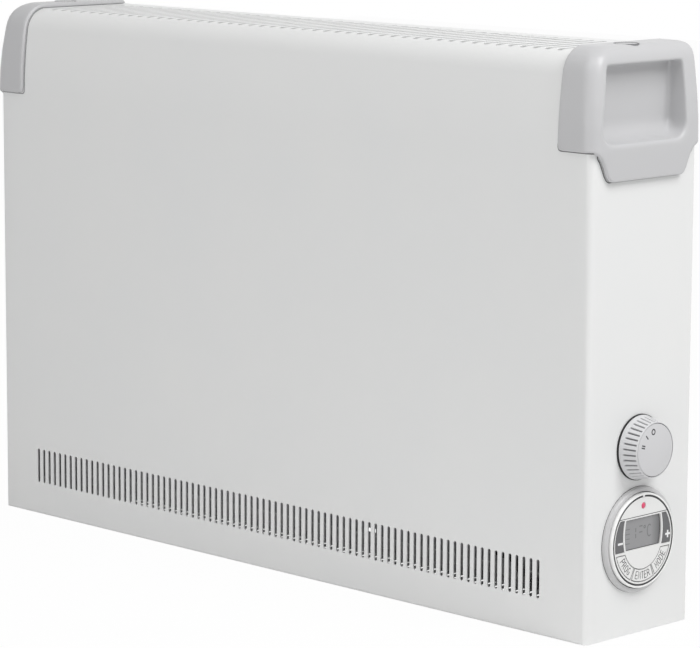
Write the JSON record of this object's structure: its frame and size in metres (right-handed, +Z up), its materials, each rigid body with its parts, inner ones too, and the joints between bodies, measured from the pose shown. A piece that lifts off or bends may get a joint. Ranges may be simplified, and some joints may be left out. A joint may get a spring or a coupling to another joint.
{
  "type": "wall convector heater",
  "caption": "Slim wall convector heater: slotted white steel case, grey carrying ends, rotary heat switch and round timer on the end, hooked on a wall bracket.",
  "frame": {"origin": "centre of the wall bracket's four screw holes, on the wall's surface", "axes": "+X along the case towards the end with the controls, +Y into the wall, +Z up"},
  "size_m": [0.6865, 0.126, 0.436],
  "materials": {
    "white_steel": "white powder coating, satin",
    "zinc_steel": "bright zinc-plated sheet",
    "screw_steel": "zinc-plated",
    "grey_moulding": "fine-grained light grey moulding",
    "element_aluminium": "extruded, bare",
    "rod_steel": "oxidised sheath",
    "ceramic": "cream ceramic, glazed",
    "black_moulding": "dark moulding",
    "black_rubber": "black rubber",
    "lead_sleeve": "woven sleeve",
    "brass_stud": "bare brass",
    "knob_grey": "light grey moulding, satin",
    "bezel_grey": "light grey moulding, soft gloss",
    "timer_white": "white moulding, satin",
    "key_grey": "mid grey key caps",
    "display_grey": "reflective grey display",
    "lamp_red": "translucent red",
    "board_green": "lacquered board"
  },
  "bodies": {
    "heater": {"case_wrapper": "white_steel", "left_end_panel": "white_steel", "right_end_panel": "white_steel", "base_tray": "white_steel", "back_panel": "zinc_steel", "back_screws": "screw_steel", "base_screws": "screw_steel", "wall_bracket": "zinc_steel", "left_end_cap": "grey_moulding", "right_end_cap": "grey_moulding", "cap_screws": "screw_steel", "cap_plugs": "grey_moulding", "heat_shield": "zinc_steel", "left_element_bracket": "zinc_steel", "right_element_bracket": "zinc_steel", "lower_element": "element_aluminium", "upper_element": "element_aluminium", "heating_rods": "rod_steel", "rod_insulators": "ceramic", "element_screws": "screw_steel", "thermal_cutout": "black_moulding", "control_partition": "zinc_steel", "partition_grommet": "black_rubber", "terminal_block": "ceramic", "supply_wires": "black_rubber", "element_wires": "lead_sleeve", "return_wires": "lead_sleeve", "cable_grommet": "black_rubber", "earth_stud": "brass_stud", "switch_body": "black_moulding", "switch_nut": "screw_steel", "knob_collar": "black_moulding", "timer_bezel": "bezel_grey", "timer_rim": "timer_white", "timer_housing": "black_moulding", "timer_lock_ring": "black_moulding", "timer_board": "board_green", "timer_display": "display_grey", "timer_lamp": "lamp_red", "timer_face": "timer_white"},
    "knob": {"knob": "knob_grey", "knob_face": "knob_grey", "switch_shaft": "screw_steel"},
    "minus_key": {"minus_key": "key_grey"},
    "plus_key": {"plus_key": "key_grey"},
    "left_key": {"left_key": "timer_white"},
    "middle_key": {"middle_key": "timer_white"},
    "right_key": {"right_key": "timer_white"}
  },
  "joints": [
    {"name": "knob_turn", "type": "hinge", "parent": "heater", "child": "knob", "pos_m": [0.333, -0.0655, -0.0646], "axis": [-1, 0, 0], "range_deg": [0, 64]},
    {"name": "minus_key_press", "type": "slide", "parent": "heater", "child": "minus_key", "axis": [-1, 0, 0], "range_m": [0, 0.0006], "stiffness_N_per_m": 1500, "springref_m": -0.0004},
    {"name": "plus_key_press", "type": "slide", "parent": "heater", "child": "plus_key", "axis": [-1, 0, 0], "range_m": [0, 0.0006], "stiffness_N_per_m": 1500, "springref_m": -0.0004},
    {"name": "left_key_press", "type": "slide", "parent": "heater", "child": "left_key", "axis": [-1, 0, 0], "range_m": [0, 0.0006], "stiffness_N_per_m": 1500, "springref_m": -0.0004},
    {"name": "middle_key_press", "type": "slide", "parent": "heater", "child": "middle_key", "axis": [-1, 0, 0], "range_m": [0, 0.0006], "stiffness_N_per_m": 1500, "springref_m": -0.0004},
    {"name": "right_key_press", "type": "slide", "parent": "heater", "child": "right_key", "axis": [-1, 0, 0], "range_m": [0, 0.0006], "stiffness_N_per_m": 1500, "springref_m": -0.0004}
  ]
}
